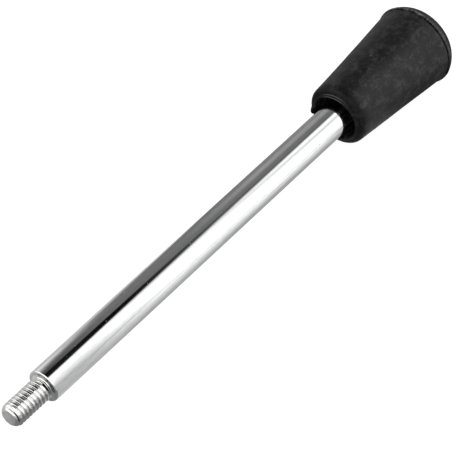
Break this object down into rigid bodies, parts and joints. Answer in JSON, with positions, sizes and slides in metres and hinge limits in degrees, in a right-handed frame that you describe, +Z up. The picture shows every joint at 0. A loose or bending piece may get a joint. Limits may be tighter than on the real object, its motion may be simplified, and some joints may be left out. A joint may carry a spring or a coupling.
{
  "type": "screw-in operating lever",
  "caption": "Straight round lever bar with a shouldered threaded stud at one end and a tapered moulded hand grip at the other.",
  "frame": {"origin": "centre of the shoulder seat, the annular face that bears on the hub the stud is screwed into", "axes": "+X along the bar from the seat to the grip, so the stud points to -X; +Z up, with the bar level"},
  "size_m": [0.2107, 0.0296, 0.0296],
  "materials": {
    "plated_bar": "bright plated bar, duller plating in the thread",
    "moulded_grip": "satin moulded black with faint streaks",
    "insert_brass": "turned and knurled"
  },
  "bodies": {
    "root": {"lever_rod": "plated_bar", "grip_body": "moulded_grip", "threaded_insert": "insert_brass"}
  },
  "joints": []
}
